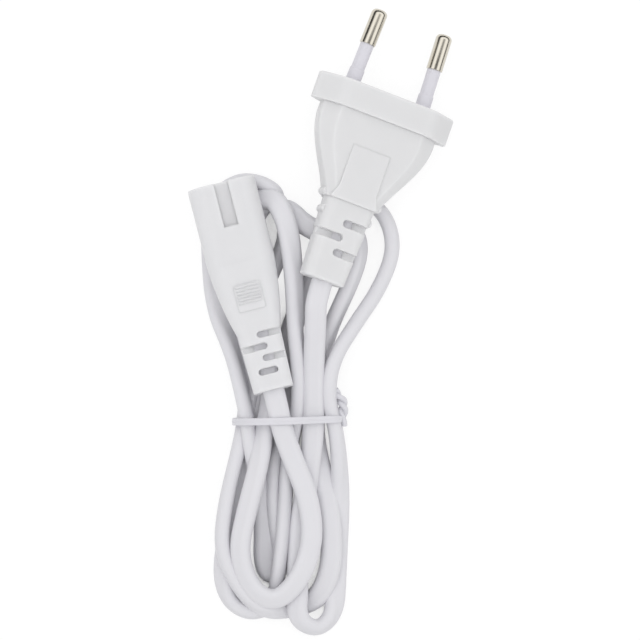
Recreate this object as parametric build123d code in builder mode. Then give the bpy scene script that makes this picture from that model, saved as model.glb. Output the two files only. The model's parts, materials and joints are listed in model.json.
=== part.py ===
from build123d import *
import math
import os

# White two-pin mains lead: plug, figure-8 connector and a flat flex folded into a tied hank.
# Millimetres. The hank lies on the XY plane, +Z up, with the pins towards +Y.

# Where the two mouldings lie: centre of the end that the flex leaves, heading from +Y,
# nose-down pitch and roll to the right
plug_tail = (0.3, 9.55, 12.78)
plug_heading = -19.6
plug_pitch = -4.4
plug_roll = 12.0
connector_tail = (-11.26, -17.01, 11.98)
connector_heading = 14.4
connector_pitch = -4.5

# Flange of the plug
flange_width = 35.3
flange_height = 13.7
flange_depth = 6.7
flange_flat = 23.4
flange_end = 2.4
flange_corner = 1.0
flange_shoulder = 4.5
flange_edge = 0.5

# Bell between the flange and the neck
body_width = 29.2
shoulder_width = 28.0
shoulder_back = 13.0
hip_width = 19.2
hip_back = 22.0
neck_width = 13.2
neck_back = 28.2
body_height = 11.8
neck_height = 9.6
body_bevel = 5.0
neck_bevel = 2.0
bevel_rise = 0.75
bell_corner = 0.9
bell_overlap = 0.7

# Thumb pad on each broad face, and grip ribs on each side of the neck
pad_width = 9.7
pad_foot_width = 12.1
pad_foot_length = 3.2
pad_start = 14.6
pad_height = 10.9
rib_spans = (15.2, 13.2)
rib_size = 2.2
rib_height = 6.0
rib_gap = 4.2

# Strain relief of the plug: slots from both broad faces leave a web between them
relief_end = 48.0
relief_start_width = 12.4
relief_end_width = 10.6
relief_start_height = 9.4
relief_end_height = 8.4
relief_corner = 2.4
relief_edge = 0.6
relief_slot_width = 1.9
slot_web = 2.2
slot_reach = 0.6
relief_right_slots = (14.7, 7.3)
relief_left_slots = (11.0,)

# Pins
pin_spacing = 18.6
pin_lean = 2.2
pin_length = 19.0
pin_diameter = 4.0
pin_tip_length = 9.0
pin_dome = 1.2
shank_diameter = 2.4
pin_head_diameter = 4.8
pin_head_length = 1.2
pin_tail_length = 4.0
pin_tail_diameter = 2.8
sleeve_diameter = 3.4
sleeve_collar_diameter = 3.8
sleeve_collar_length = 3.3
sleeve_root = 3.0

# Bridge that holds the pins
bridge_front = 1.4
bridge_depth = 5.0
bridge_height = 7.4
bridge_margin = 3.4
bridge_corner = 1.5

# Connector
connector_length = 52.0
contact_spacing = 8.6
lobe_radius = 4.05
nose_corner = 4.0
nose_length = 20.0
groove_width = 3.5
groove_length = 11.0
grip_back = 26.0
grip_width = 15.4
grip_height = 9.6
waist_back = 32.5
waist_width = 13.2
waist_height = 9.8
waist_corner = 3.2
collar_back = 37.4
collar_width = 10.7
collar_height = 8.8
tail_width = 9.8
tail_height = 8.2
collar_corner = 2.6
grip_pad_size = 6.6
grip_pad_back = 28.9
grip_pad_stand = 0.25
grip_rib_count = 6
grip_rib_width = 0.45
grip_rib_pitch = 0.8
grip_rib_stand = 0.2
connector_slot_width = 1.6
connector_left_reach = 1.3
connector_right_slots = (13.6, 7.8)
connector_left_slots = (10.7,)
window_ahead = 4.6
window_length = 4.9

# Insert and contacts of the connector
insert_radius = 2.7
insert_depth = 13.0
entry_diameter = 2.9
entry_depth = 1.2
contact_bore = 2.4
contact_wall = 0.35
contact_length = 9.0
contact_tail_length = 4.0
contact_tail_diameter = 2.2

# Flex: sheath, cores and conductors
cord_thickness = 3.4
cord_lead = 4.0
cord_arc_share = 0.45
plug_sheath_back = 30.6
connector_sheath_back = 36.0
core_diameter = 1.5
core_spacing = 1.6
core_strip = 2.0
conductor_diameter = 0.9
conductor_reach = 2.5
core_bend = 4.0

# Twist tie round the waist of the hank
tie_y = -24.4
tie_width = 2.0
tie_thickness = 0.55
tie_clearance = 0.05
wire_thickness = 0.25
wire_width = 0.6
tie_tail_size = 1.5
tie_tail_corner = 0.4
tie_tail_start = (5.7, -24.4, 4.3)
tie_tail_tip = (5.9, -16.2, 4.6)

# Strand centres at the waist that the tie is pulled against, as x and height
tie_corners = ((-20.2, 2.38), (-18.2, 6.1), (-9.9, 11.7), (-9.2, 11.7), (3.4, 4.6), (3.4, 3.8), (-1.2, 2.38))

# Route of the flex through the hank, from the plug's lead to the connector's lead
hank_route = [
    # down from the plug, through the tie and round the lowest loop
    (-1.0, 0.0, 11.2), (-1.5, -8.5, 8.4), (-1.6, -18.5, 6.8), (-1.5, -27.0, 6.2), (-2.0, -34.0, 5.8),
    (-3.0, -41.5, 3.4), (-4.5, -49.0, 1.9), (-5.0, -58.0, 1.8), (-5.5, -66.0, 4.2), (-5.5, -73.0, 6.6),
    (-0.5, -76.0, 3.0), (4.5, -72.0, 1.8), (5.0, -63.5, 1.8), (5.2, -51.0, 1.8), (5.2, -39.0, 2.2),
    # up the right side and round the wide loop under the plug's neck
    (3.5, -27.5, 3.6), (2.5, -17.5, 5.6), (3.0, -9.0, 5.6), (9.0, -1.0, 3.6), (15.0, 8.0, 1.9),
    (18.5, 18.0, 1.8), (15.5, 27.0, 1.8), (8.0, 31.0, 1.8), (2.0, 26.0, 1.8), (0.5, 17.0, 1.8),
    (0.0, 6.0, 1.8), (-2.0, -5.0, 1.8), (-4.5, -16.0, 1.8), (-7.0, -24.5, 2.5),
    # down the middle and round the smallest loop
    (-11.0, -31.0, 2.0), (-11.5, -41.5, 1.8), (-11.0, -51.0, 1.8), (-10.5, -58.0, 1.8), (-11.5, -62.0, 1.8),
    (-15.0, -62.0, 1.8), (-16.0, -58.0, 1.8), (-15.5, -51.0, 1.8), (-15.5, -42.5, 2.6), (-17.2, -32.0, 5.7),
    (-17.5, -25.5, 6.0),
    # up the left side and round the loop under the connector's nose
    (-19.0, -18.0, 5.8), (-21.5, -7.5, 2.4), (-25.5, 3.5, 1.8), (-26.5, 16.0, 1.8), (-26.5, 28.0, 1.8),
    (-21.0, 34.5, 1.8), (-12.5, 34.0, 1.8), (-6.0, 29.0, 1.8), (-5.5, 19.5, 1.8), (-11.0, 10.0, 1.8),
    (-13.0, -3.5, 1.8), (-12.5, -14.5, 1.8), (-15.0, -24.5, 2.5),
    # down the left side and round the outer left loop
    (-18.8, -35.0, 1.8), (-21.5, -49.0, 1.8), (-24.5, -61.0, 1.8), (-23.0, -69.5, 1.8), (-16.5, -72.5, 1.8),
    (-11.0, -69.5, 1.8), (-9.0, -63.0, 4.8), (-8.0, -56.0, 4.6), (-7.5, -45.0, 2.6), (-7.0, -34.0, 4.0),
    (-5.5, -25.5, 6.0),
    # up beside the connector and round the loop that tucks under its nose
    (-5.0, -16.0, 6.0), (-6.0, -2.5, 5.8), (-6.0, 11.0, 5.6), (-7.5, 22.5, 5.6), (-10.5, 29.5, 4.2),
    (-17.0, 30.0, 2.2), (-20.0, 24.0, 1.8), (-19.0, 12.0, 1.8), (-17.5, -2.5, 1.8), (-16.5, -14.0, 1.8),
    (-19.5, -24.0, 2.5),
    # down the left edge and across the bottom, under the plug's strand
    (-21.5, -31.5, 3.6), (-24.0, -45.0, 4.8), (-24.5, -55.5, 5.7), (-21.5, -64.5, 5.8), (-17.5, -70.5, 5.9),
    (-12.5, -72.5, 5.8), (-8.0, -71.5, 2.6), (-3.5, -70.0, 1.7), (1.0, -67.5, 3.4), (3.5, -60.5, 5.4),
    (3.0, -50.5, 5.3), (1.0, -39.5, 2.6), (-1.5, -29.5, 2.3),
    # up the right side and round the short loop under the plug's strain relief
    (-1.0, -18.5, 2.4), (3.0, -3.5, 1.8), (9.0, 10.0, 1.8), (10.0, 17.5, 3.0), (5.5, 21.0, 5.6),
    (-1.0, 20.5, 5.6), (-3.5, 15.0, 3.2), (-4.0, 5.0, 1.8), (-7.5, -7.5, 1.9), (-11.0, -16.5, 5.2),
    # down and round the front loop, then up to the connector
    (-13.5, -25.5, 6.8), (-14.5, -34.0, 8.3), (-18.0, -47.0, 7.6), (-20.0, -56.5, 7.2), (-17.0, -65.5, 7.4),
    (-11.0, -69.0, 7.8), (-5.0, -63.5, 8.2), (-1.5, -53.5, 7.4), (-3.0, -42.5, 7.6), (-7.0, -33.0, 9.0),
    (-9.5, -25.5, 10.8),
]

os.makedirs("parts", exist_ok=True)

plug_lie = Location(plug_tail) * Rotation(0, 0, plug_heading) * Rotation(plug_pitch, 0, 0)
plug_frame = Plane(plug_lie * Rotation(0, plug_roll, 0) * Location((0, relief_end, 0)))
connector_lie = Location(connector_tail) * Rotation(0, 0, connector_heading)
connector_frame = Plane(connector_lie * Rotation(connector_pitch, 0, 0) * Location((0, connector_length, 0)))


def across(frame, back):
    """Plane across a moulding, a distance behind its front face: x to the right, y up."""
    return Plane(frame.from_local_coords(Vector(0, -back, 0)), x_dir=frame.x_dir, z_dir=-frame.y_dir)


def between(start, end, share):
    """Value a given share of the way from start to end."""
    return start + (end - start) * share


def arc_radii(points):
    """Arc radius at each inner point whose tangent takes the set share of the shorter run."""
    radii = []
    for before, corner, after in zip(points, points[1:], points[2:]):
        turn = (corner - before).get_angle(after - corner)
        shorter_run = min((corner - before).length, (after - corner).length)
        radii.append(cord_arc_share * shorter_run / math.tan(math.radians(turn / 2)))
    return radii


def pin_plane(side):
    """Plane through a pin's axis: x is the radius, y runs out along the pin from the pin face."""
    lean = math.radians(pin_lean)
    out = plug_frame.y_dir * math.cos(lean) - plug_frame.x_dir * (side * math.sin(lean))
    root = plug_frame.from_local_coords(Vector(side * pin_spacing / 2, 0, 0))
    return Plane(root, x_dir=plug_frame.z_dir, z_dir=plug_frame.z_dir.cross(out))


def contact_plane(side):
    """Plane through a contact's axis: x is the radius, y runs out of the connector's front face."""
    mouth = connector_frame.from_local_coords(Vector(side * contact_spacing / 2, 0, 0))
    return Plane(mouth, x_dir=connector_frame.z_dir, z_dir=connector_frame.z_dir.cross(connector_frame.y_dir))


sides = {"live": -1, "neutral": 1}
pins = {}
sleeves = {}
plug_cores = {}
plug_conductors = {}
contacts = {}
connector_cores = {}
connector_conductors = {}

# Pins: a domed tip, a thin shank under the sleeve, a head in the bridge and a drilled tail
pin_root = -(bridge_front + bridge_depth)
pin_tail_end = pin_root - pin_tail_length
for name, side in sides.items():
    plane = pin_plane(side)
    with BuildPart() as pin:
        with BuildSketch(plane):
            with BuildLine():
                Polyline(
                    (0, pin_length),
                    (0, pin_tail_end + conductor_reach),
                    (conductor_diameter / 2, pin_tail_end + conductor_reach),
                    (conductor_diameter / 2, pin_tail_end),
                    (pin_tail_diameter / 2, pin_tail_end),
                    (pin_tail_diameter / 2, pin_root),
                    (pin_head_diameter / 2, pin_root),
                    (pin_head_diameter / 2, pin_root + pin_head_length),
                    (shank_diameter / 2, pin_root + pin_head_length),
                    (shank_diameter / 2, pin_length - pin_tip_length),
                    (pin_diameter / 2, pin_length - pin_tip_length),
                    (pin_diameter / 2, pin_length),
                    close=True,
                )
            make_face()
        revolve(axis=Axis(plane.origin, plane.y_dir))
        fillet(pin.edges().sort_by(Axis(plane.origin, plane.y_dir))[-1], pin_dome)
    pin.part.label = "plug_pin_" + name
    pins[name] = pin.part

# Sleeves: moulded on the shank, from inside the bridge to the shoulder of the bare tip
for name, side in sides.items():
    plane = pin_plane(side)
    with BuildPart() as sleeve:
        with BuildSketch(plane):
            with BuildLine():
                Polyline(
                    (shank_diameter / 2, -sleeve_root),
                    (sleeve_collar_diameter / 2, -sleeve_root),
                    (sleeve_collar_diameter / 2, sleeve_collar_length),
                    (sleeve_diameter / 2, sleeve_collar_length + (sleeve_collar_diameter - sleeve_diameter)),
                    (sleeve_diameter / 2, pin_length - pin_tip_length),
                    (shank_diameter / 2, pin_length - pin_tip_length),
                    close=True,
                )
            make_face()
        revolve(axis=Axis(plane.origin, plane.y_dir))
    sleeve.part.label = "pin_sleeve_" + name
    sleeves[name] = sleeve.part

# Bridge: a rigid bar that keeps the pins at their spacing
with BuildPart() as plug_pin_bridge:
    with BuildSketch(across(plug_frame, bridge_front)):
        RectangleRounded(pin_spacing + 2 * bridge_margin, bridge_height, bridge_corner)
    extrude(amount=bridge_depth)
    add(list(pins.values()) + list(sleeves.values()), mode=Mode.SUBTRACT)
plug_pin_bridge.part.label = "plug_pin_bridge"

# Conductors and cores in the plug: from the end of the sheath, spreading to the pin tails
for name, side in sides.items():
    plane = pin_plane(side)
    seat = plane.from_local_coords(Vector(0, pin_tail_end + conductor_reach, 0))
    bend = plane.from_local_coords(Vector(0, pin_tail_end - core_strip - core_bend, 0))
    strip = plane.from_local_coords(Vector(0, pin_tail_end - core_strip, 0))
    exit_x = side * core_spacing / 2
    join = plug_frame.from_local_coords(Vector(exit_x, -plug_sheath_back, 0))
    spread = plug_frame.from_local_coords(Vector(exit_x, -plug_sheath_back + core_bend, 0))
    with BuildPart() as conductor:
        with BuildSketch(Plane(strip, z_dir=seat - strip)):
            Circle(conductor_diameter / 2)
        extrude(amount=(seat - strip).length)
    conductor.part.label = "plug_conductor_" + name
    plug_conductors[name] = conductor.part
    with BuildPart() as core:
        with BuildLine():
            FilletPolyline(strip, bend, spread, join, radius=core_bend)
        with BuildSketch(Plane(strip, z_dir=bend - strip)):
            Circle(core_diameter / 2)
        sweep()
    core.part.label = "plug_core_" + name
    plug_cores[name] = core.part

# Flex: the sheath from inside the plug's relief, through the hank, to inside the connector's relief
plug_sheath_end = plug_frame.from_local_coords(Vector(0, -plug_sheath_back, 0))
plug_lead = plug_frame.from_local_coords(Vector(0, -relief_end - cord_lead, 0))
connector_lead = connector_frame.from_local_coords(Vector(0, -connector_length - cord_lead, 0))
connector_sheath_end = connector_frame.from_local_coords(Vector(0, -connector_sheath_back, 0))
route = [plug_sheath_end, plug_lead]
route += [Vector(*point) for point in hank_route]
route += [connector_lead, connector_sheath_end]
route_radii = arc_radii(route)
with BuildPart() as cord_sheath:
    with BuildLine() as cord_line:
        FilletPolyline(*route, radius=route_radii)
    with BuildSketch(Plane(route[0], z_dir=route[1] - route[0])):
        Circle(cord_thickness / 2)
    sweep()
cord_sheath.part.label = "cord_sheath"
cord_length = sum(edge.length for edge in cord_line.edges())
section_volume = math.pi * cord_thickness**2 / 4 * cord_length
print("cord radii", [round(radius, 1) for radius in route_radii])
print("cord length", round(cord_length, 1), "volume share", round(cord_sheath.part.volume / section_volume, 4))

# Plug body: flange, bell, thumb pads, grip ribs and slotted strain relief in one moulding
with BuildPart() as plug_body:
    with BuildSketch(across(plug_frame, 0)) as flange_outline:
        with BuildLine():
            Polyline(
                (flange_flat / 2, flange_height / 2),
                (flange_width / 2, flange_end / 2),
                (flange_width / 2, -flange_end / 2),
                (flange_flat / 2, -flange_height / 2),
                (-flange_flat / 2, -flange_height / 2),
                (-flange_width / 2, -flange_end / 2),
                (-flange_width / 2, flange_end / 2),
                (-flange_flat / 2, flange_height / 2),
                close=True,
            )
        make_face()
        for level in (0, -1):
            fillet(flange_outline.vertices().group_by(Axis.Y)[level], flange_shoulder)
        for end in (0, -1):
            fillet(flange_outline.vertices().group_by(Axis.X)[end], flange_corner)
    extrude(amount=flange_depth)
    fillet(plug_body.faces().sort_by(Axis(plug_frame.origin, plug_frame.y_dir))[-1].edges(), flange_edge)
    bell_stations = (
        (flange_depth - bell_overlap, body_width),
        (shoulder_back, shoulder_width),
        (hip_back, hip_width),
        (neck_back, neck_width),
    )
    for back, width in bell_stations:
        share = back / neck_back
        half_width = width / 2
        half_height = between(body_height, neck_height, share) / 2
        half_flat = half_width - between(body_bevel, neck_bevel, share)
        half_end = half_height - between(body_bevel, neck_bevel, share) * bevel_rise
        with BuildSketch(across(plug_frame, back)) as bell_section:
            with BuildLine():
                Polyline(
                    (half_flat, half_height),
                    (half_width, half_end),
                    (half_width, -half_end),
                    (half_flat, -half_height),
                    (-half_flat, -half_height),
                    (-half_width, -half_end),
                    (-half_width, half_end),
                    (-half_flat, half_height),
                    close=True,
                )
            make_face()
            fillet(bell_section.vertices(), bell_corner)
    loft()
    with BuildSketch(plug_frame):
        with BuildLine():
            Polyline(
                (pad_width / 2, -pad_start),
                (pad_width / 2, -neck_back + pad_foot_length),
                (pad_foot_width / 2, -neck_back),
                (-pad_foot_width / 2, -neck_back),
                (-pad_width / 2, -neck_back + pad_foot_length),
                (-pad_width / 2, -pad_start),
                close=True,
            )
        make_face()
    extrude(amount=pad_height / 2, both=True)
    for back, width, height in (
        (neck_back - bell_overlap, relief_start_width, relief_start_height),
        (relief_end, relief_end_width, relief_end_height),
    ):
        with BuildSketch(across(plug_frame, back)):
            RectangleRounded(width, height, relief_corner)
    loft()
    fillet(plug_body.faces().sort_by(Axis(plug_frame.origin, plug_frame.y_dir))[0].edges(), relief_edge)
    with BuildSketch(plug_frame):
        for row, span in enumerate(rib_spans):
            with Locations((0, rib_size / 2 - neck_back - row * rib_gap)):
                SlotOverall(span, rib_size)
    extrude(amount=rib_height / 2, both=True)
    for face in (1, -1):
        for side, aheads in ((1, relief_right_slots), (-1, relief_left_slots)):
            slot_x = side * (relief_start_width / 2 - slot_reach)
            with BuildSketch(plug_frame.offset(face * slot_web / 2)):
                with Locations(*[(slot_x, ahead - relief_end) for ahead in aheads]):
                    SlotOverall(relief_start_width, relief_slot_width)
            extrude(amount=face * relief_start_height, mode=Mode.SUBTRACT)
    plug_inner = [plug_pin_bridge.part, cord_sheath.part]
    for group in (pins, sleeves, plug_cores, plug_conductors):
        plug_inner += list(group.values())
    add(plug_inner, mode=Mode.SUBTRACT)
plug_body.part.label = "plug_body"

# Contacts: a round socket for the appliance's pin, with a solid tail for the conductor
contact_mouth = -entry_depth
contact_end = contact_mouth - contact_length
contact_tail_end = contact_end - contact_tail_length
for name, side in sides.items():
    plane = contact_plane(side)
    with BuildPart() as contact:
        with BuildSketch(plane):
            with BuildLine():
                Polyline(
                    (contact_bore / 2, contact_mouth),
                    (contact_bore / 2 + contact_wall, contact_mouth),
                    (contact_bore / 2 + contact_wall, contact_end - contact_wall),
                    (contact_tail_diameter / 2, contact_end - contact_wall),
                    (contact_tail_diameter / 2, contact_tail_end),
                    (conductor_diameter / 2, contact_tail_end),
                    (conductor_diameter / 2, contact_tail_end + conductor_reach),
                    (0, contact_tail_end + conductor_reach),
                    (0, contact_end),
                    (contact_bore / 2, contact_end),
                    close=True,
                )
            make_face()
        revolve(axis=Axis(plane.origin, plane.y_dir))
    contact.part.label = "contact_" + name
    contacts[name] = contact.part

# Insert: a rigid figure-8 block that holds the contacts behind two entry holes
with BuildSketch(across(connector_frame, 0)) as insert_outline:
    with GridLocations(contact_spacing, 0, 2, 1):
        Circle(insert_radius)
    Rectangle(contact_spacing, insert_radius)
with BuildPart() as connector_insert:
    extrude(insert_outline.sketch, amount=insert_depth)
    with BuildSketch(across(connector_frame, 0)):
        with GridLocations(contact_spacing, 0, 2, 1):
            Circle(entry_diameter / 2)
    extrude(amount=entry_depth, mode=Mode.SUBTRACT)
    with BuildSketch(across(connector_frame, entry_depth)):
        with GridLocations(contact_spacing, 0, 2, 1):
            Circle(contact_bore / 2 + contact_wall)
    extrude(amount=insert_depth, mode=Mode.SUBTRACT)
connector_insert.part.label = "connector_insert"

# Conductors and cores in the connector: from the end of the sheath to the contact tails
for name, side in sides.items():
    contact_x = side * contact_spacing / 2
    exit_x = side * core_spacing / 2
    seat = connector_frame.from_local_coords(Vector(contact_x, contact_tail_end + conductor_reach, 0))
    strip = connector_frame.from_local_coords(Vector(contact_x, contact_tail_end - core_strip, 0))
    bend = connector_frame.from_local_coords(Vector(contact_x, contact_tail_end - core_strip - core_bend, 0))
    spread = connector_frame.from_local_coords(Vector(exit_x, -connector_sheath_back + core_bend, 0))
    join = connector_frame.from_local_coords(Vector(exit_x, -connector_sheath_back, 0))
    with BuildPart() as conductor:
        with BuildSketch(Plane(strip, z_dir=seat - strip)):
            Circle(conductor_diameter / 2)
        extrude(amount=(seat - strip).length)
    conductor.part.label = "connector_conductor_" + name
    connector_conductors[name] = conductor.part
    with BuildPart() as core:
        with BuildLine():
            FilletPolyline(strip, bend, spread, join, radius=core_bend)
        with BuildSketch(Plane(strip, z_dir=bend - strip)):
            Circle(core_diameter / 2)
        sweep()
    core.part.label = "connector_core_" + name
    connector_cores[name] = core.part

# Connector body: grooved figure-8 nose, ribbed grip pads and slotted strain relief in one moulding
nose_width = contact_spacing + 2 * lobe_radius
with BuildPart() as connector_body:
    with BuildSketch(across(connector_frame, 0)):
        RectangleRounded(nose_width, 2 * lobe_radius, nose_corner)
    extrude(amount=nose_length)
    collar_station = (collar_back, collar_width, collar_height, collar_corner)
    grip_stations = (
        (nose_length, nose_width, 2 * lobe_radius, nose_corner),
        (grip_back, grip_width, grip_height, nose_corner),
        (waist_back, waist_width, waist_height, waist_corner),
        collar_station,
    )
    tail_stations = (collar_station, (connector_length, tail_width, tail_height, collar_corner))
    for stations in (grip_stations, tail_stations):
        for back, width, height, corner in stations:
            with BuildSketch(across(connector_frame, back)):
                RectangleRounded(width, height, corner)
        loft()
    for face in (1, -1):
        with BuildSketch(connector_frame.offset(face * lobe_radius)):
            with Locations((0, -groove_length / 2)):
                Rectangle(groove_width, groove_length)
        extrude(amount=-face * (lobe_radius - insert_radius), mode=Mode.SUBTRACT)
    pad_half = waist_height / 2
    with BuildSketch(connector_frame):
        with Locations((0, -grip_pad_back)):
            RectangleRounded(grip_pad_size, grip_pad_size, grip_rib_width)
    extrude(amount=pad_half + grip_pad_stand, both=True)
    with BuildSketch(connector_frame):
        with Locations((0, -grip_pad_back + grip_rib_pitch)):
            with GridLocations(0, grip_rib_pitch, 1, grip_rib_count):
                Rectangle(grip_pad_size - 2 * grip_rib_width, grip_rib_width)
    extrude(amount=pad_half + grip_pad_stand + grip_rib_stand, both=True)
    slot_rows = ((1, slot_reach, connector_right_slots), (-1, connector_left_reach, connector_left_slots))
    for face in (1, -1):
        slot_plane = connector_frame.offset(face * slot_web / 2)
        for side, reach, aheads in slot_rows:
            slot_x = side * (collar_width / 2 - reach)
            with BuildSketch(slot_plane):
                with Locations(*[(slot_x, ahead - connector_length) for ahead in aheads]):
                    SlotOverall(collar_width, connector_slot_width)
            extrude(amount=face * collar_height, mode=Mode.SUBTRACT)
        with BuildSketch(slot_plane):
            with Locations((0, window_ahead - connector_length)):
                SlotOverall(window_length, connector_slot_width)
        extrude(amount=face * collar_height, mode=Mode.SUBTRACT)
    extrude(insert_outline.sketch, amount=insert_depth, mode=Mode.SUBTRACT)
    connector_inner = [cord_sheath.part]
    for group in (contacts, connector_cores, connector_conductors):
        connector_inner += list(group.values())
    add(connector_inner, mode=Mode.SUBTRACT)
connector_body.part.label = "connector_body"

# Twist tie: a flat strip pulled round the waist, with a tail; its wire runs inside
tie_plane = Plane((0, tie_y + tie_width / 2, 0), x_dir=(1, 0, 0), z_dir=(0, -1, 0))
wire_plane = Plane((0, tie_y + wire_width / 2, 0), x_dir=(1, 0, 0), z_dir=(0, -1, 0))
tie_inside = cord_thickness / 2 + tie_clearance
wire_inside = tie_inside + (tie_thickness - wire_thickness) / 2
tail_direction = Vector(*tie_tail_tip) - Vector(*tie_tail_start)
tail_plane = Plane(tie_tail_start, z_dir=tail_direction)
with BuildPart() as tie_wire:
    with BuildSketch(wire_plane):
        with BuildLine():
            Polyline(*tie_corners, close=True)
        make_face()
        offset(amount=wire_inside + wire_thickness)
        with BuildLine():
            Polyline(*tie_corners, close=True)
        wire_hole = make_face(mode=Mode.PRIVATE)
        offset(wire_hole, amount=wire_inside, mode=Mode.SUBTRACT)
    extrude(amount=wire_width)
    with BuildSketch(tail_plane):
        Circle(wire_thickness)
    extrude(amount=tail_direction.length)
tie_wire.part.label = "tie_wire"

with BuildPart() as tie_ribbon:
    with BuildSketch(tie_plane):
        with BuildLine():
            Polyline(*tie_corners, close=True)
        make_face()
        offset(amount=tie_inside + tie_thickness)
        with BuildLine():
            Polyline(*tie_corners, close=True)
        ribbon_hole = make_face(mode=Mode.PRIVATE)
        offset(ribbon_hole, amount=tie_inside, mode=Mode.SUBTRACT)
    extrude(amount=tie_width)
    with BuildSketch(tail_plane):
        RectangleRounded(tie_tail_size, tie_tail_size, tie_tail_corner)
    extrude(amount=tail_direction.length)
    add(tie_wire.part, mode=Mode.SUBTRACT)
tie_ribbon.part.label = "tie_ribbon"

pieces = [plug_pin_bridge.part, plug_body.part, connector_insert.part, connector_body.part]
pieces += [cord_sheath.part, tie_ribbon.part, tie_wire.part]
for group in (
    pins,
    sleeves,
    plug_cores,
    plug_conductors,
    contacts,
    connector_cores,
    connector_conductors,
):
    pieces += list(group.values())
for piece in pieces:
    export_step(piece, "parts/" + piece.label + ".step")
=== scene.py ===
"""White mains lead: a flat round-pin plug, a figure-eight connector and a flat flex in a tied hank.

Lengths are in metres.
"""

import json
import logging
import math
from dataclasses import dataclass
from enum import Enum
from typing import Any, Protocol, Sequence, Union

import bmesh
import bpy
from mathutils import Matrix, Vector

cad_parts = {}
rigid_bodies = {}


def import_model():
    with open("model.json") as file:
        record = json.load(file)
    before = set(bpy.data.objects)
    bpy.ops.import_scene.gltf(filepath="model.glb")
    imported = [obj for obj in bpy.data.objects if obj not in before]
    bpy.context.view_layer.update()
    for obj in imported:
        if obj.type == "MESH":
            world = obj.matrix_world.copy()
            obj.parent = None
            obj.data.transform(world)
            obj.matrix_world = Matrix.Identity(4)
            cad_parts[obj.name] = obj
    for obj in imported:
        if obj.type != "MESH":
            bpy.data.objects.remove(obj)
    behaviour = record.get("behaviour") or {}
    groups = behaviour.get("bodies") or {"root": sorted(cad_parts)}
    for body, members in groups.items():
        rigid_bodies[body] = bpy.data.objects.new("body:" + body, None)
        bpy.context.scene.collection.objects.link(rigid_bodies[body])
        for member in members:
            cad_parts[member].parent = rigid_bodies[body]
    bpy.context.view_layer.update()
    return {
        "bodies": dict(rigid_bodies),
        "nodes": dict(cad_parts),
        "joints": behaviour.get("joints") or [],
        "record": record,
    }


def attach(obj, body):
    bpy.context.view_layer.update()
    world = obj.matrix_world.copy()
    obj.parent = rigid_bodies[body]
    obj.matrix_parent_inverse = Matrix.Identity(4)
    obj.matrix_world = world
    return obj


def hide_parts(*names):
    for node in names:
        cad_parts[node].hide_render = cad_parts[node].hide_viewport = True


LOG = logging.getLogger("mains_lead")
BODY = "root"
NOISE_MIDDLE = 0.5
EDGE_SAMPLES = 6
NEARBY_SAMPLES = 8
SPLINE_ORDER = 3

Colour = tuple[float, float, float]
Place = tuple[float, float, float]
RoutePoint = tuple[float, float, float, float]
Term = Union["Number", float]


def grey(level: float) -> tuple[float, float, float, float]:
    """An opaque grey."""
    return (level, level, level, 1.0)


class Slot(Enum):
    """Material slots of the record, passed with the scene's own pieces but not used."""

    MOULDED = "moulded_pvc"
    FLEX = "flex_pvc"
    PIN = "pin_metal"
    SLEEVE = "sleeve_plastic"
    RIGID = "rigid_plastic"
    CONTACT = "contact_metal"
    TIE = "tie_plastic"
    WIRE = "tie_steel"


class Number:
    """A number that varies over a surface; expressions on it add Math nodes."""

    def __init__(self, nodes: "Nodes", socket: bpy.types.NodeSocket) -> None:
        """Wrap a socket of a node tree."""
        self.nodes = nodes
        self.socket = socket

    def _math(self, operation: str, first: Term, second: Term) -> "Number":
        """Add one Math node.

        Args:
            operation: The node's operation, such as MULTIPLY.
            first: A Number or a plain number.
            second: A Number or a plain number.

        Returns:
            The node's result.
        """
        node = self.nodes.node("ShaderNodeMath", {"operation": operation}, {0: first, 1: second})
        return Number(self.nodes, node.outputs[0])

    def __abs__(self) -> "Number":
        """Size without sign."""
        return self._math("ABSOLUTE", self, 0.0)

    def step(self, start: float, end: float) -> "Number":
        """A slope from 0 at one value to 1 at another, level beyond them.

        Args:
            start: The value that gives 0.
            end: The value that gives 1.

        Returns:
            The slope.
        """
        limits = {"Value": self, "From Min": start, "From Max": end}
        return Number(self.nodes, self.nodes.node("ShaderNodeMapRange", None, limits).outputs[0])

    def __add__(self, other: Term) -> "Number":
        """Sum."""
        return self._math("ADD", self, other)

    def __sub__(self, other: Term) -> "Number":
        """Difference."""
        return self._math("SUBTRACT", self, other)

    def __rsub__(self, other: Term) -> "Number":
        """Difference from a plain number."""
        return self._math("SUBTRACT", other, self)

    def __mul__(self, other: Term) -> "Number":
        """Product."""
        return self._math("MULTIPLY", self, other)

    __radd__ = __add__
    __rmul__ = __mul__


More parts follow.
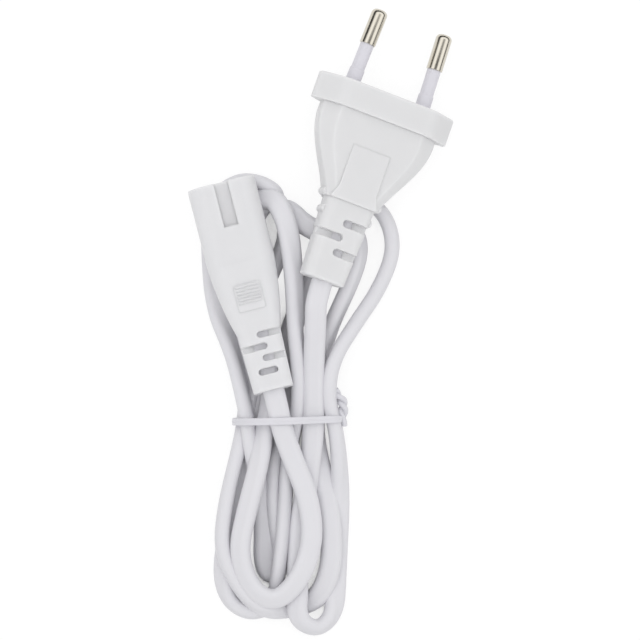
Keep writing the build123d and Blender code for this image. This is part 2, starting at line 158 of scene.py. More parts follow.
class Nodes:
    """The node tree of a material or a surround."""

    def __init__(self, owner: bpy.types.Material | bpy.types.World) -> None:
        """Start with an empty tree.

        Args:
            owner: The material or world that the tree belongs to.
        """
        owner.use_nodes = True
        self.tree = owner.node_tree
        self.tree.nodes.clear()

    def node(
        self, kind: str, settings: dict[str, Any] | None = None, inputs: dict[Any, Any] | None = None
    ) -> bpy.types.Node:
        """Add a node.

        Args:
            kind: The node's type name.
            settings: Its settings; "stops" gives a ramp's positions and grey levels.
            inputs: Its sockets, by name or number: a Number, another node's socket or a plain value.

        Returns:
            The new node.
        """
        node = self.tree.nodes.new(kind)
        for key, value in (settings or {}).items():
            if key == "stops":
                while len(node.color_ramp.elements) < len(value):
                    node.color_ramp.elements.new(1.0)
                for element, (place, level) in zip(node.color_ramp.elements, value):
                    element.position = place
                    element.color = grey(level)
            else:
                setattr(node, key, value)
        for key, value in (inputs or {}).items():
            self.feed(node.inputs[key], value)
        return node

    def feed(self, socket: bpy.types.NodeSocket, value: Any) -> None:
        """Link a Number or a socket to an input, or set its plain value.

        Args:
            socket: The input.
            value: What it takes.
        """
        if isinstance(value, Number):
            self.tree.links.new(value.socket, socket)
        elif isinstance(value, bpy.types.NodeSocket):
            self.tree.links.new(value, socket)
        else:
            socket.default_value = value

    def split(self, vector: bpy.types.NodeSocket) -> list[Number]:
        """The three parts of a vector."""
        parts = self.node("ShaderNodeSeparateXYZ", None, {0: vector})
        return [Number(self, part) for part in parts.outputs]

    def rays(self, *kinds: str) -> Number:
        """A mask of the rays that see a surface.

        Args:
            kinds: Kinds of rays, as the Light Path node names them.

        Returns:
            1 for rays of these kinds, 0 for others.
        """
        outputs = self.node("ShaderNodeLightPath").outputs
        first, *others = (Number(self, outputs[f"Is {kind} Ray"]) for kind in kinds)
        return sum(others, first)

    def openness(self, reach: float, closed: float, clear: float, alone: bool = False) -> Number:
        """How open the space over a surface is.

        Args:
            reach: How near something has to be to close it.
            closed: The open share that gives 0.
            clear: The open share that gives 1.
            alone: Whether only the piece itself counts.

        Returns:
            0 in closed places to 1 in open ones.
        """
        settings = {"samples": NEARBY_SAMPLES, "only_local": alone}
        around = self.node("ShaderNodeAmbientOcclusion", settings, {"Distance": reach})
        return Number(self, around.outputs["AO"]).step(closed, clear)


class Shader(Nodes):
    """A material with a Principled surface, and the nodes that feed it."""

    # sockets of the Mix node for colours, whose names it also uses for numbers
    MIX_SHARE = 0
    MIX_LOW = 6
    MIX_HIGH = 7
    MIX_RESULT = 2

    def __init__(self, name: str) -> None:
        """Start a node tree that ends in a Principled surface.

        Args:
            name: The material's name.
        """
        self.material = bpy.data.materials.new(name)
        super().__init__(self.material)
        self.surface = self.node("ShaderNodeBsdfPrincipled")
        self.output = self.node("ShaderNodeOutputMaterial", None, {"Surface": self.surface.outputs[0]})

    def place(self) -> bpy.types.NodeSocket:
        """The surface point in the piece's own coordinates."""
        return self.node("ShaderNodeTexCoord").outputs["Object"]

    def noise(self, scale: float, detail: float) -> Number:
        """Soft mottling.

        Args:
            scale: Spots per metre.
            detail: Octaves of finer spots.

        Returns:
            A number about NOISE_MIDDLE.
        """
        inputs = {"Vector": self.place(), "Scale": scale, "Detail": detail}
        return Number(self, self.node("ShaderNodeTexNoise", None, inputs).outputs[0])

    def blend(self, low: Any, high: Any, share: Number) -> bpy.types.NodeSocket:
        """Mix two colours by a varying share.

        Args:
            low: The colour at 0, or the socket that gives it.
            high: The colour at 1, or the socket that gives it.
            share: The share of the second colour.

        Returns:
            The mixed colour.
        """
        inputs: dict[Any, Any] = {self.MIX_SHARE: share}
        for socket, colour in ((self.MIX_LOW, low), (self.MIX_HIGH, high)):
            inputs[socket] = (*colour, 1.0) if isinstance(colour, tuple) else colour
        return self.node("ShaderNodeMix", {"data_type": "RGBA"}, inputs).outputs[self.MIX_RESULT]

    def relief(self, height: Number, depth: float, rounding: float) -> bpy.types.NodeSocket:
        """Surface normal of a fine relief.

        Args:
            height: Height of the relief, 0 to 1.
            depth: Its real depth in metres.
            rounding: Radius that softens the piece's edges, or 0 to leave them.

        Returns:
            The normal to link to the surface.
        """
        inputs: dict[Any, Any] = {"Strength": 1.0, "Distance": depth, "Height": height}
        if rounding:
            rounded = self.node("ShaderNodeBevel", {"samples": EDGE_SAMPLES}, {"Radius": rounding})
            inputs["Normal"] = rounded.outputs[0]
        return self.node("ShaderNodeBump", None, inputs).outputs[0]


class Finish(Protocol):
    """Anything that can make its own material."""

    name: str

    def material(self) -> bpy.types.Material:
        """Build the material."""


@dataclass(frozen=True)
class Plastic:
    """Moulded or extruded plastic with a faint mottle and a fine skin texture."""

    name: str
    colour: Colour
    shade: Colour
    roughness: float
    mottle_scale: float = 220.0
    mottle_detail: float = 4.0
    mottle_share: float = 0.12
    grain_scale: float = 9000.0
    grain_detail: float = 3.0
    grain_share: float = 0.1
    grain_depth: float = 0.000012
    edge_radius: float = 0.0003
    gloss: float = 0.45
    depth: float = 0.0
    # painted light: deep slots take this paler colour, for the light that their thin walls let through
    painted_slot_light: Colour | None = None
    slot_reach: float = 0.003
    slot_deep: float = 0.3
    slot_open: float = 0.5

    def tint(self, shader: Shader, mottle: Number) -> bpy.types.NodeSocket:
        """The colour over the surface, with painted light: paler in deep slots, for the light that
        their thin walls let through.

        Args:
            shader: The material that is being made.
            mottle: Its mottling.

        Returns:
            The colour.
        """
        plain = shader.blend(self.shade, self.colour, mottle)
        if self.painted_slot_light is None:
            return plain
        # painted light: the colour turns paler where the slot closes in
        outside = shader.openness(self.slot_reach, self.slot_deep, self.slot_open, alone=True)
        return shader.blend(self.painted_slot_light, plain, outside)

    def material(self) -> bpy.types.Material:
        """Build the material.

        Returns:
            The finished material.
        """
        shader = Shader(self.name)
        mottle = shader.noise(self.mottle_scale, self.mottle_detail)
        grain = shader.noise(self.grain_scale, self.grain_detail)
        uneven = self.mottle_share * (mottle - NOISE_MIDDLE) + self.grain_share * (grain - NOISE_MIDDLE)
        surface = shader.surface
        surface.inputs["Specular IOR Level"].default_value = self.gloss
        if self.depth:
            surface.inputs["Subsurface Weight"].default_value = 1.0
            surface.inputs["Subsurface Radius"].default_value = (1.0, 1.0, 1.0)
            surface.inputs["Subsurface Scale"].default_value = self.depth
        shader.feed(surface.inputs["Base Color"], self.tint(shader, mottle))
        shader.feed(surface.inputs["Roughness"], self.roughness + uneven)
        shader.feed(surface.inputs["Normal"], shader.relief(grain, self.grain_depth, self.edge_radius))
        return shader.material


@dataclass(frozen=True)
class GroovedPlastic(Plastic):
    """Moulded plastic with painted shade: a darker groove along the middle of the connector's nose."""

    # painted shade: the groove's hollow is laid darker in colour, deepest at its inner end
    groove: Colour = (0.7, 0.698, 0.71)

    # the middle of the nose's face, and how the nose lies
    mouth: Place = (-0.02415, 0.0332, 0.0079)
    heading: float = math.radians(14.4)
    pitch: float = math.radians(-4.5)
    groove_width: float = 0.0035
    groove_length: float = 0.011
    fade: float = 0.0004
    mouth_shade_share: float = 0.55

    def tint(self, shader: Shader, mottle: Number) -> bpy.types.NodeSocket:
        """The colour over the surface, with painted shade: darker along the groove and most at its
        inner end.

        Args:
            shader: The material that is being made.
            mottle: Its mottling.

        Returns:
            The colour.
        """
        turn = (self.pitch, 0.0, self.heading)
        inputs = {"Vector": shader.place(), "Location": self.mouth, "Rotation": turn}
        lying = shader.node("ShaderNodeMapping", {"vector_type": "TEXTURE"}, inputs).outputs[0]
        across, along, _ = shader.split(lying)
        half = self.groove_width / 2
        inner_end = -self.groove_length
        # painted shade along the groove, strongest at its inner end
        inside = abs(across).step(half + self.fade, half) * along.step(inner_end - self.fade, inner_end)
        share = self.mouth_shade_share + (1.0 - self.mouth_shade_share) * along.step(0.0, inner_end)
        return shader.blend(super().tint(shader, mottle), self.groove, inside * share)


@dataclass(frozen=True)
class PlatedMetal:
    """Metal with a faintly clouded polish and fine marks."""

    name: str
    colour: Colour
    shade: Colour
    roughness: float
    cloud_scale: float = 500.0
    cloud_detail: float = 4.0
    cloud_share: float = 0.2
    mark_scale: float = 6000.0
    mark_detail: float = 2.0
    mark_share: float = 0.1
    mark_depth: float = 0.000006
    edge_radius: float = 0.0002

    def material(self) -> bpy.types.Material:
        """Build the material.

        Returns:
            The finished material.
        """
        shader = Shader(self.name)
        cloud = shader.noise(self.cloud_scale, self.cloud_detail)
        marks = shader.noise(self.mark_scale, self.mark_detail)
        uneven = self.cloud_share * (cloud - NOISE_MIDDLE) + self.mark_share * (marks - NOISE_MIDDLE)
        surface = shader.surface
        surface.inputs["Metallic"].default_value = 1.0
        shader.feed(surface.inputs["Base Color"], shader.blend(self.shade, self.colour, cloud))
        shader.feed(surface.inputs["Roughness"], self.roughness + uneven)
        shader.feed(surface.inputs["Normal"], shader.relief(marks, self.mark_depth, self.edge_radius))
        return shader.material


class Finishes(Enum):
    """The finishes of this lead."""

    MOULDED = Plastic(
        "moulded_white",
        (0.745, 0.745, 0.753),
        (0.725, 0.725, 0.733),
        0.5,
        edge_radius=0.0005,
        gloss=0.3,
        depth=0.0012,
        # painted light in the deep slots
        painted_slot_light=(0.93, 0.93, 0.94),
    )
    GROOVED = GroovedPlastic(
        # painted shade in the nose's groove
        "groove_shaded_white",
        (0.755, 0.755, 0.768),
        (0.735, 0.735, 0.748),
        0.5,
        edge_radius=0.0005,
        gloss=0.3,
        depth=0.0012,
        # painted light in the deep slots
        painted_slot_light=(0.93, 0.93, 0.94),
    )
    FLEX = Plastic(
        "flex_white",
        (0.725, 0.72, 0.75),
        (0.705, 0.7, 0.73),
        0.5,
        grain_depth=0.000006,
        edge_radius=0.0,
        gloss=0.25,
    )
    SLEEVE = Plastic(
        "sleeve_white",
        (0.69, 0.68, 0.73),
        (0.66, 0.65, 0.7),
        0.35,
        grain_depth=0.000004,
        gloss=0.3,
    )
    RIGID = Plastic("rigid_white", (0.74, 0.74, 0.74), (0.7, 0.7, 0.7), 0.5)
    BROWN = Plastic("core_brown", (0.24, 0.12, 0.06), (0.2, 0.1, 0.05), 0.4)
    BLUE = Plastic("core_blue", (0.06, 0.2, 0.5), (0.05, 0.17, 0.44), 0.4)
    TIE = Plastic(
        "tie_white",
        (0.7, 0.695, 0.735),
        (0.675, 0.67, 0.71),
        0.4,
        grain_depth=0.000005,
        edge_radius=0.0,
    )
    NICKEL = PlatedMetal("pin_nickel", (0.72, 0.68, 0.6), (0.6, 0.56, 0.48), 0.17)
    BRASS = PlatedMetal("contact_brass", (0.78, 0.6, 0.3), (0.7, 0.52, 0.24), 0.3)
    COPPER = PlatedMetal("bare_copper", (0.8, 0.43, 0.27), (0.68, 0.34, 0.2), 0.32)
    STEEL = PlatedMetal("tie_steel", (0.6, 0.6, 0.6), (0.5, 0.5, 0.5), 0.35)


class Workshop:
    """Makes each material once and places finished pieces on the lead."""

    def __init__(self) -> None:
        """Start with no materials made."""
        self.made: dict[str, bpy.types.Material] = {}

    def material(self, finish: Finish) -> bpy.types.Material:
        """A finish's material, made the first time it is asked for.

        Args:
            finish: The finish.

        Returns:
            Its material.
        """
        if finish.name not in self.made:
            self.made[finish.name] = finish.material()
        return self.made[finish.name]

    def place(
        self, piece: bpy.types.Object, finish: Finish, slot: Slot, *nodes: str
    ) -> bpy.types.Object:
        """Dress a piece and put it on the lead.

        Args:
            piece: The piece, in place.
            finish: Its finish.
            slot: The record's slot for it; not used.
            nodes: CAD nodes that it stands for.

        Returns:
            The piece.
        """
        self.dress(piece, finish)
        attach(piece, BODY)
        if nodes:
            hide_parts(*nodes)
        LOG.info("%s placed", piece.name)
        return piece

    def dress(self, piece: bpy.types.Object, finish: Finish) -> None:
        """Give a piece its finish and no other.

        Args:
            piece: The piece, or a solid that stays as it is.
            finish: Its finish.
        """
        piece.data.materials.clear()
        piece.data.materials.append(self.material(finish))
        LOG.info("%s dressed", piece.name)


def link(name: str, data: bpy.types.ID) -> bpy.types.Object:
    """Add an object to the scene.

    Args:
        name: The object's name.
        data: Its mesh, curve, lamp or camera.

    Returns:
        The new object.
    """
    piece = bpy.data.objects.new(name, data)
    bpy.context.scene.collection.objects.link(piece)
    return piece


def solid_mesh(curve: bpy.types.Curve) -> bpy.types.Mesh:
    """The mesh of a curve, or the points along it where it has no section.

    Args:
        curve: The curve, which is used up.

    Returns:
        The new mesh.
    """
    holder = link(curve.name, curve)
    bpy.context.view_layer.update()
    mesh = bpy.data.meshes.new_from_object(holder.evaluated_get(bpy.context.evaluated_depsgraph_get()))
    bpy.data.objects.remove(holder)
    bpy.data.curves.remove(curve)
    return mesh


def add_route(
    curve: bpy.types.Curve,
    points: Sequence[Sequence[float]],
    turns: Sequence[float] = (),
    closed: bool = False,
) -> None:
    """Lay one smooth spline.

    Args:
        curve: The curve that takes the spline.
        points: Its control points.
        turns: How far its section is turned at each point, in degrees.
        closed: Whether it ends where it starts.
    """
    spline = curve.splines.new("NURBS")
    spline.points.add(len(points) - 1)
    for point, place in zip(spline.points, points):
        point.co = (*place, 1.0)
    for point, turn in zip(spline.points, turns):
        point.tilt = math.radians(turn)
    spline.order_u = SPLINE_ORDER
    spline.use_endpoint_u = not closed
    spline.use_cyclic_u = closed
    spline.use_smooth = True


@dataclass
class SmoothCopy:
    """A rigid piece with its solid's own mesh, merged and smoothly shaded between its creases."""

    node: str
    finish: Finish
    slot: Slot
    crease: float = math.radians(24.0)
    weld: float = 0.000002

    def build(self, frame: dict[str, Any], workshop: Workshop) -> bpy.types.Object:
        """Make the piece.

        Args:
            frame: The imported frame.
            workshop: Where pieces are dressed.

        Returns:
            The finished piece.
        """
        mesh = bpy.data.meshes.new(self.node + "_skin")
        form = bmesh.new()
        form.from_mesh(frame["nodes"][self.node].data)
        bmesh.ops.remove_doubles(form, verts=form.verts, dist=self.weld)
        bmesh.ops.dissolve_degenerate(form, edges=form.edges, dist=self.weld)
        for face in form.faces:
            face.smooth = True
        for edge in form.edges:
            edge.smooth = edge.is_manifold and edge.calc_face_angle() < self.crease
        form.to_mesh(mesh)
        form.free()
        return workshop.place(link(self.node + "_skin", mesh), self.finish, self.slot, self.node)


@dataclass
class Flex:
    """The flat two-core flex, from inside the plug's relief to inside the connector's."""

    width: float = 0.0053
    thickness: float = 0.0034
    length: float = 1.05
    steps_per_point: int = 8
    profile_steps: int = 6
    exit: Place = (0.00612, 0.02589, 0.01145)
    round_handle: float = 0.5523

    # points along the flex and how far it is turned there, in degrees
    route: tuple[RoutePoint, ...] = (
        # out of the plug's relief
        (0.00612, 0.02589, 0.01145, 12), (-0.00104, 0.00579, 0.01309, 12),
        # down from the plug, through the tie and round the lowest loop
        (-0.001, 0, 0.0112, 4), (-0.0015, -0.0085, 0.0084, 0), (-0.0016, -0.0185, 0.0074, 0),
        (-0.0016, -0.027, 0.007, 0), (-0.0023, -0.034, 0.0064, 0),
        (-0.0033, -0.0415, 0.0052, 0), (-0.0048, -0.049, 0.0054, 0), (-0.0054, -0.058, 0.0054, 0),
        (-0.0055, -0.066, 0.0057, 0), (-0.0057, -0.073, 0.0066, 40),
        (-0.0007, -0.076, 0.0032, 75), (0.0036, -0.072, 0.0026, 60), (0.0038, -0.0635, 0.0018, 0),
        (0.0044, -0.051, 0.0018, 0), (0.005, -0.039, 0.0026, 60),
        # up the right side and round the wide loop under the plug's neck
        (0.0041, -0.0275, 0.0044, 80), (0.0018, -0.0185, 0.0066, 80), (0.0032, -0.0095, 0.0066, 80),
        (0.0086, -0.001, 0.0046, 80), (0.0148, 0.008, 0.0027, 80),
        (0.0185, 0.018, 0.0027, 80), (0.0155, 0.027, 0.0027, 80), (0.008, 0.031, 0.0027, 80),
        (0.002, 0.026, 0.0024, 45), (0.0005, 0.017, 0.0018, 0),
        (-0.0015, 0.0095, 0.0018, 0), (-0.0056, 0.002, 0.0018, 0), (-0.0083, -0.0065, 0.0018, 0),
        (-0.0082, -0.0165, 0.0018, 0),
        (-0.007, -0.0245, 0.0025, 0),
        # down the middle and round the smallest loop
        (-0.011, -0.031, 0.0026, 80), (-0.0117, -0.0415, 0.0027, 85), (-0.0111, -0.05, 0.0027, 85),
        (-0.0099, -0.057, 0.0026, 60), (-0.01, -0.0612, 0.0021, 20),
        (-0.0125, -0.0622, 0.0018, 0), (-0.0138, -0.0585, 0.0018, 0), (-0.0135, -0.0515, 0.0018, 0),
        (-0.014, -0.043, 0.0026, 30), (-0.0168, -0.032, 0.0057, 80),
        (-0.0175, -0.0255, 0.0065, 80),
        # up the left side and round the loop under the connector's nose
        (-0.019, -0.018, 0.0062, 80), (-0.0215, -0.0075, 0.003, 70), (-0.0255, 0.0035, 0.0018, 0),
        (-0.0265, 0.016, 0.0018, 0), (-0.0265, 0.028, 0.0018, 0),
        (-0.021, 0.0332, 0.0018, 0), (-0.015, 0.0336, 0.0026, 60), (-0.0105, 0.0314, 0.0027, 85),
        (-0.0106, 0.0288, 0.0027, 85), (-0.0142, 0.0278, 0.0026, 60), (-0.0172, 0.0232, 0.0019, 10),
        (-0.0177, 0.014, 0.0018, 0), (-0.0167, 0.004, 0.0018, 0),
        (-0.0147, -0.0055, 0.0018, 0), (-0.013, -0.0145, 0.0018, 0), (-0.015, -0.0245, 0.0025, 0),
        # down the left side and round the outer left loop
        (-0.0188, -0.035, 0.0018, 0), (-0.0215, -0.049, 0.0018, 0), (-0.024, -0.061, 0.0021, 20),
        (-0.0226, -0.069, 0.0027, 80), (-0.0168, -0.0722, 0.0027, 80),
        (-0.0113, -0.0695, 0.0027, 70), (-0.0103, -0.063, 0.0048, 80), (-0.0094, -0.056, 0.0054, 85),
        (-0.0085, -0.045, 0.0046, 85), (-0.0079, -0.034, 0.0046, 85),
        (-0.0058, -0.0255, 0.006, 85),
        # up beside the connector and round the loop that tucks under its nose
        (-0.005, -0.016, 0.0068, 85), (-0.0061, -0.0025, 0.0084, 70), (-0.0063, 0.011, 0.0086, 50),
        (-0.0077, 0.0225, 0.0082, 15), (-0.0096, 0.0272, 0.0076, 0), (-0.011, 0.0292, 0.0064, 0),
        (-0.0132, 0.0296, 0.0046, 20), (-0.0168, 0.0288, 0.0026, 30), (-0.0208, 0.023, 0.0018, 0),
        (-0.0212, 0.012, 0.0018, 0),
        (-0.0182, -0.0025, 0.0018, 0), (-0.0165, -0.014, 0.0018, 0),
        (-0.0184, -0.024, 0.0027, 80),
        # down the left edge and across the bottom, under the plug's strand
        (-0.0199, -0.0315, 0.0045, 85), (-0.0232, -0.045, 0.0063, 80), (-0.0243, -0.056, 0.0066, 80),
        (-0.0206, -0.064, 0.0064, 75), (-0.0165, -0.069, 0.0061, 70),
        (-0.0125, -0.0709, 0.0058, 55), (-0.008, -0.0705, 0.0026, 20), (-0.0035, -0.0695, 0.0018, 0),
        (0.0002, -0.0672, 0.0034, 0), (0.0028, -0.0602, 0.0054, 0),
        (0.0028, -0.0505, 0.0054, 5), (0.001, -0.0395, 0.003, 30), (-0.0015, -0.0295, 0.0024, 20),
        # up the right side and round the short loop under the plug's strain relief
        (-0.0014, -0.0185, 0.0026, 40), (0.0016, -0.0035, 0.0028, 75), (0.008, 0.01, 0.006, 65),
        (0.01, 0.0175, 0.0046, 60), (0.0078, 0.0222, 0.0054, 20),
        # left under the strands beside the connector, round a hairpin and down to the waist
        (0.0015, 0.0206, 0.0054, 0), (-0.004, 0.0234, 0.0042, 0), (-0.0066, 0.026, 0.0033, 15),
        (-0.0083, 0.0274, 0.0028, 45), (-0.0098, 0.0264, 0.0028, 75), (-0.0081, 0.0213, 0.0028, 75),
        (-0.0102, 0.0148, 0.0028, 75), (-0.0134, 0.0085, 0.0029, 60),
        (-0.0138, 0, 0.0044, 0), (-0.0124, -0.009, 0.0055, 10), (-0.0115, -0.017, 0.0058, 30),
        # down and round the front loop, then up to the connector
        (-0.0135, -0.0255, 0.007, 60), (-0.0145, -0.034, 0.0087, 35), (-0.018, -0.047, 0.009, 30),
        (-0.02, -0.0565, 0.009, 35), (-0.017, -0.0655, 0.0087, 40),
        (-0.011, -0.069, 0.0087, 35), (-0.005, -0.0635, 0.0093, 25), (-0.0015, -0.0535, 0.0092, 10),
        (-0.003, -0.0425, 0.0091, 0), (-0.007, -0.033, 0.0096, 0),
        (-0.0095, -0.0255, 0.0112, 0),
        # into the connector's relief
        (-0.01027, -0.02087, 0.01229, 0), (-0.01523, -0.00156, 0.01072, 0),
    )

    def profile(self) -> bpy.types.Object:
        """The flex's section, round at its two edges and flat between them.

        Returns:
            A hidden closed curve.
        """
        curve = bpy.data.curves.new("flex_section", "CURVE")
        curve.dimensions = "2D"
        curve.resolution_u = self.profile_steps
        radius = self.thickness / 2
        flat = self.width / 2 - radius
        handle = radius * self.round_handle
        level = flat / 3
        corners = (
            ((flat, -radius), (level, 0), (handle, 0)),
            ((flat + radius, 0), (0, -handle), (0, handle)),
            ((flat, radius), (handle, 0), (-level, 0)),
            ((-flat, radius), (level, 0), (-handle, 0)),
            ((-flat - radius, 0), (0, handle), (0, -handle)),
            ((-flat, -radius), (-handle, 0), (level, 0)),
        )
        spline = curve.splines.new("BEZIER")
        spline.bezier_points.add(len(corners) - 1)
        for point, (place, before, after) in zip(spline.bezier_points, corners):
            point.co = (*place, 0)
            point.handle_left_type = "FREE"
            point.handle_right_type = "FREE"
            point.handle_left = (place[0] + before[0], place[1] + before[1], 0)
            point.handle_right = (place[0] + after[0], place[1] + after[1], 0)
        spline.use_cyclic_u = True
        section = link("flex_section", curve)
        section.hide_render = True
        section.hide_viewport = True
        return section

    def build(self, workshop: Workshop, ends: list[bpy.types.Object]) -> None:
        """Lay the flex along its route.

        Args:
            workshop: Where pieces are dressed.
            ends: The pieces at its far end; not used.
        """
        curve = bpy.data.curves.new("flex", "CURVE")
        curve.dimensions = "3D"
        curve.twist_mode = "Z_UP"
        curve.resolution_u = self.steps_per_point
        add_route(curve, [stop[:3] for stop in self.route], [stop[3] for stop in self.route])
        curve.bevel_mode = "OBJECT"
        curve.bevel_object = self.profile()
        curve.use_fill_caps = True
        flex = workshop.place(link("flex", curve), Finishes.FLEX.value, Slot.FLEX, "cord_sheath")


@dataclass
class TwistTie:
    """A plastic strip with a wire in it, pulled round the hank's waist and twisted at its right."""

    width: float = 0.00178
    thickness: float = 0.0005
    ridge: float = 0.00062
    wire: float = 0.0004
    waist: float = -0.0243
    slope: float = 0.027
    twist_radius: float = 0.0006
    twist_turns: float = 1.5
    strand: float = 0.00138
    wire_stub: float = 0.0003
    loop_steps: int = 10
    line_steps: int = 12
    end_steps: int = 4
    round_steps: int = 3

    # the strands that it is pulled against, as x and height
    hull: tuple[tuple[float, float], ...] = (
        (-0.0186, 0.0004), (-0.0212, 0.0008), (-0.0213, 0.005), (-0.0202, 0.0092), (-0.0138, 0.0131),
        (-0.0112, 0.0137), (-0.0074, 0.0137), (-0.0044, 0.0121), (0.001, 0.0096), (0.005, 0.0078),
        (0.0054, 0.0036), (0.0044, 0.001), (0.002, 0.0004),
    )
    tail: tuple[Place, ...] = (
        (0.0054, -0.0257, 0.0043),
        (0.0057, -0.0225, 0.0046),
        (0.0057, -0.0195, 0.0048),
        (0.0034, -0.0174, 0.005),
    )

    def loop(self, width: float, thickness: float) -> bpy.types.Mesh:
        """A closed strip round the waist.

        Args:
            width: The strip's width along the hank.
            thickness: Its thickness.

        Returns:
            The strip's mesh, in place.
        """
        curve = bpy.data.curves.new("tie_loop", "CURVE")
        curve.dimensions = "3D"
        curve.twist_mode = "Z_UP"
        curve.resolution_u = self.loop_steps
        curve.fill_mode = "FULL"
        curve.extrude = (width - thickness) / 2
        curve.bevel_depth = thickness / 2
        curve.bevel_resolution = self.round_steps
        add_route(curve, [(x, z, 0) for x, z in self.hull], closed=True)
        mesh = solid_mesh(curve)
        lean = Matrix.Identity(4)
        lean[1][0] = self.slope
        upright = Matrix.Rotation(math.radians(90), 4, "X")
        mesh.transform(Matrix.Translation((0, self.waist, 0)) @ lean @ upright)
        return mesh

    def twisted(self, thickness: float, phase: float, stub: float = 0.0) -> bpy.types.Mesh:
        """One of the two ends that are twisted together.

        Args:
            thickness: The end's thickness.
            phase: Where it starts round the twist, in radians.
            stub: How far it reaches past the twist.

        Returns:
            The end's mesh, in place.
        """
        line = bpy.data.curves.new("tie_line", "CURVE")
        line.dimensions = "3D"
        line.resolution_u = self.line_steps
        add_route(line, self.tail)
        centre = [vertex.co.copy() for vertex in solid_mesh(line).vertices]
        curve = bpy.data.curves.new("tie_end", "CURVE")
        curve.dimensions = "3D"
        curve.resolution_u = self.end_steps
        curve.bevel_depth = thickness / 2
        curve.bevel_resolution = self.round_steps
        curve.use_fill_caps = True
        path = []
        for index, point in enumerate(centre):
            ahead = centre[min(index + 1, len(centre) - 1)] - centre[max(index - 1, 0)]
            side = ahead.cross(Vector((0, 0, 1))).normalized()
            rise = side.cross(ahead).normalized()
            angle = phase + math.tau * self.twist_turns * index / (len(centre) - 1)
            path.append(point + self.twist_radius * (math.cos(angle) * side + math.sin(angle) * rise))
        path[-1] += stub * (path[-1] - path[-2]).normalized()
        add_route(curve, path)
        return solid_mesh(curve)

    def joined(self, name: str, parts: list[bpy.types.Mesh]) -> bpy.types.Object:
        """Put several meshes in one smooth object.

        Args:
            name: The object's name.
            parts: The meshes, in place.

        Returns:
            The object.
        """
        mesh = bpy.data.meshes.new(name)
        form = bmesh.new()
        for part in parts:
            form.from_mesh(part)
        for face in form.faces:
            face.smooth = True
        form.to_mesh(mesh)
        form.free()
        return link(name, mesh)

    def build(self, workshop: Workshop) -> None:
        """Make the strip and the wire in it.

        Args:
            workshop: Where pieces are dressed.
        """
        strip = [self.loop(self.width, self.thickness), self.loop(self.ridge, self.ridge)]
        core = [self.loop(self.wire, self.wire)]
        for phase in (0.0, math.pi):
            strip.append(self.twisted(self.strand, phase))
            core.append(self.twisted(self.wire, phase, self.wire_stub))
        workshop.place(self.joined("tie_strip", strip), Finishes.TIE.value, Slot.TIE, "tie_ribbon")
        workshop.place(self.joined("tie_core", core), Finishes.STEEL.value, Slot.WIRE, "tie_wire")


@dataclass
class PhotoCamera:
    """Camera straight above the hank, at the photograph's scale."""

    image_pixels: float = 640.0
    pixels_per_metre: float = 4100.0
    height: float = 1.2
    level: float = 0.007

    def build(self) -> None:
        """Create the camera and make it the scene's own."""
        data = bpy.data.cameras.new("camera")
        data.sensor_fit = "HORIZONTAL"
        span = self.image_pixels / self.pixels_per_metre
        data.angle = 2 * math.atan(span / 2 / (self.height - self.level))
        camera = link("camera", data)
        camera.location = (0, 0, self.height)
        bpy.context.scene.camera = camera


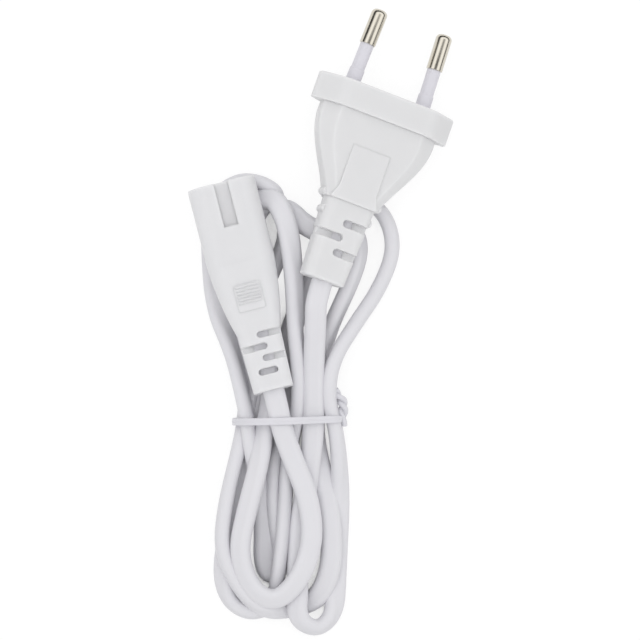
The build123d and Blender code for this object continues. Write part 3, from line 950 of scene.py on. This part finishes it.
@dataclass
class Studio:
    """Plain pale floor, soft overhead light and a white surround."""

    floor_half: float = 3.0
    floor_level: float = -0.0001
    floor_colour: float = 0.9

    # where it is seen, the floor glows white and is only faintly shaded
    seen_floor: float = 0.17
    seen_glow: float = 0.85

    # it stays plain at the bottom of narrow gaps between strands
    gap_reach: float = 0.01
    gap_closed: float = 0.01
    gap_open: float = 0.035

    ambient: float = 0.85
    soft_box: float = 0.4
    soft_box_power: float = 0.55
    soft_box_place: Place = (0.0, 0.05, 0.45)

    # how bright the surround is in reflections, by height along its axis: dark low down and at the top
    surround: tuple[tuple[float, float], ...] = (
        (0.0, 0.05), (0.3, 0.05), (0.46, 0.75), (0.6, 1.0), (0.82, 1.0), (0.9, 0.08),
    )
    surround_axis: Place = (0.077, -0.254, 0.964)
    surround_strength: float = 1.35

    def floor(self) -> None:
        """The floor, white where it is seen, and still holding a shadow."""
        mesh = bpy.data.meshes.new("floor")
        form = bmesh.new()
        bmesh.ops.create_grid(form, x_segments=1, y_segments=1, size=self.floor_half)
        bmesh.ops.translate(form, verts=form.verts, vec=(0, 0, self.floor_level))
        form.to_mesh(mesh)
        form.free()
        shader = Shader("floor")
        plain = shader.node("ShaderNodeBsdfDiffuse", None, {"Color": grey(self.floor_colour)})
        faint = shader.node("ShaderNodeBsdfDiffuse", None, {"Color": grey(self.seen_floor)})
        glow = shader.node("ShaderNodeEmission", None, {"Strength": self.seen_glow})
        both = shader.node("ShaderNodeAddShader", None, {0: faint.outputs[0], 1: glow.outputs[0]})
        seen = shader.rays("Camera", "Glossy", "Transmission")
        lit = seen * shader.openness(self.gap_reach, self.gap_closed, self.gap_open)
        layers = {0: lit, 1: plain.outputs[0], 2: both.outputs[0]}
        mix = shader.node("ShaderNodeMixShader", None, layers)
        shader.feed(shader.output.inputs["Surface"], mix.outputs[0])
        shader.tree.nodes.remove(shader.surface)
        mesh.materials.append(shader.material)
        link("floor", mesh)

    def world(self) -> None:
        """Even light all round, white where it is seen and banded in reflections."""
        world = bpy.data.worlds.new("studio")
        bpy.context.scene.world = world
        nodes = Nodes(world)
        seen = nodes.rays("Camera", "Transmission")
        glossy = nodes.rays("Glossy")
        sight = {0: nodes.node("ShaderNodeTexCoord").outputs["Generated"], 1: self.surround_axis}
        height = nodes.node("ShaderNodeVectorMath", {"operation": "DOT_PRODUCT"}, sight)
        bands = nodes.node("ShaderNodeValToRGB", {"stops": self.surround}, {0: height.outputs["Value"]})
        banded = glossy * self.surround_strength * Number(nodes, bands.outputs[0])
        strength = seen + banded + (1.0 - seen - glossy) * self.ambient
        sky = nodes.node("ShaderNodeBackground", None, {"Color": grey(1.0), "Strength": strength})
        nodes.node("ShaderNodeOutputWorld", None, {"Surface": sky.outputs[0]})

    def lamp(self) -> None:
        """A large soft box above the hank."""
        data = bpy.data.lights.new("soft_box", "AREA")
        data.size = self.soft_box
        data.energy = self.soft_box_power
        lamp = link("soft_box", data)
        lamp.visible_glossy = False
        lamp.location = self.soft_box_place
        lamp.rotation_euler = Vector(self.soft_box_place).to_track_quat("Z", "Y").to_euler()

    def build(self) -> None:
        """Set up floor, surround and light."""
        self.floor()
        self.world()
        self.lamp()
        bpy.context.scene.view_settings.view_transform = "Standard"


def main() -> None:
    """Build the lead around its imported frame."""
    logging.basicConfig(level=logging.INFO, format="%(name)s: %(message)s")
    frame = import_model()
    PhotoCamera().build()
    Studio().build()
    workshop = Workshop()
    SmoothCopy("plug_body", Finishes.MOULDED.value, Slot.MOULDED).build(frame, workshop)
    nose_end = SmoothCopy("connector_body", Finishes.GROOVED.value, Slot.MOULDED)
    connector = nose_end.build(frame, workshop)
    for side in ("live", "neutral"):
        SmoothCopy("plug_pin_" + side, Finishes.NICKEL.value, Slot.PIN).build(frame, workshop)
        SmoothCopy("pin_sleeve_" + side, Finishes.SLEEVE.value, Slot.SLEEVE).build(frame, workshop)
        SmoothCopy("contact_" + side, Finishes.BRASS.value, Slot.CONTACT).build(frame, workshop)
    SmoothCopy("connector_insert", Finishes.RIGID.value, Slot.RIGID).build(frame, workshop)
    workshop.dress(frame["nodes"]["plug_pin_bridge"], Finishes.RIGID.value)
    for end in ("plug", "connector"):
        for side, colour in (("live", Finishes.BROWN), ("neutral", Finishes.BLUE)):
            workshop.dress(frame["nodes"][f"{end}_core_{side}"], colour.value)
            workshop.dress(frame["nodes"][f"{end}_conductor_{side}"], Finishes.COPPER.value)
    Flex().build(workshop, [connector])
    TwistTie().build(workshop)


if __name__ == "__main__":
    main()
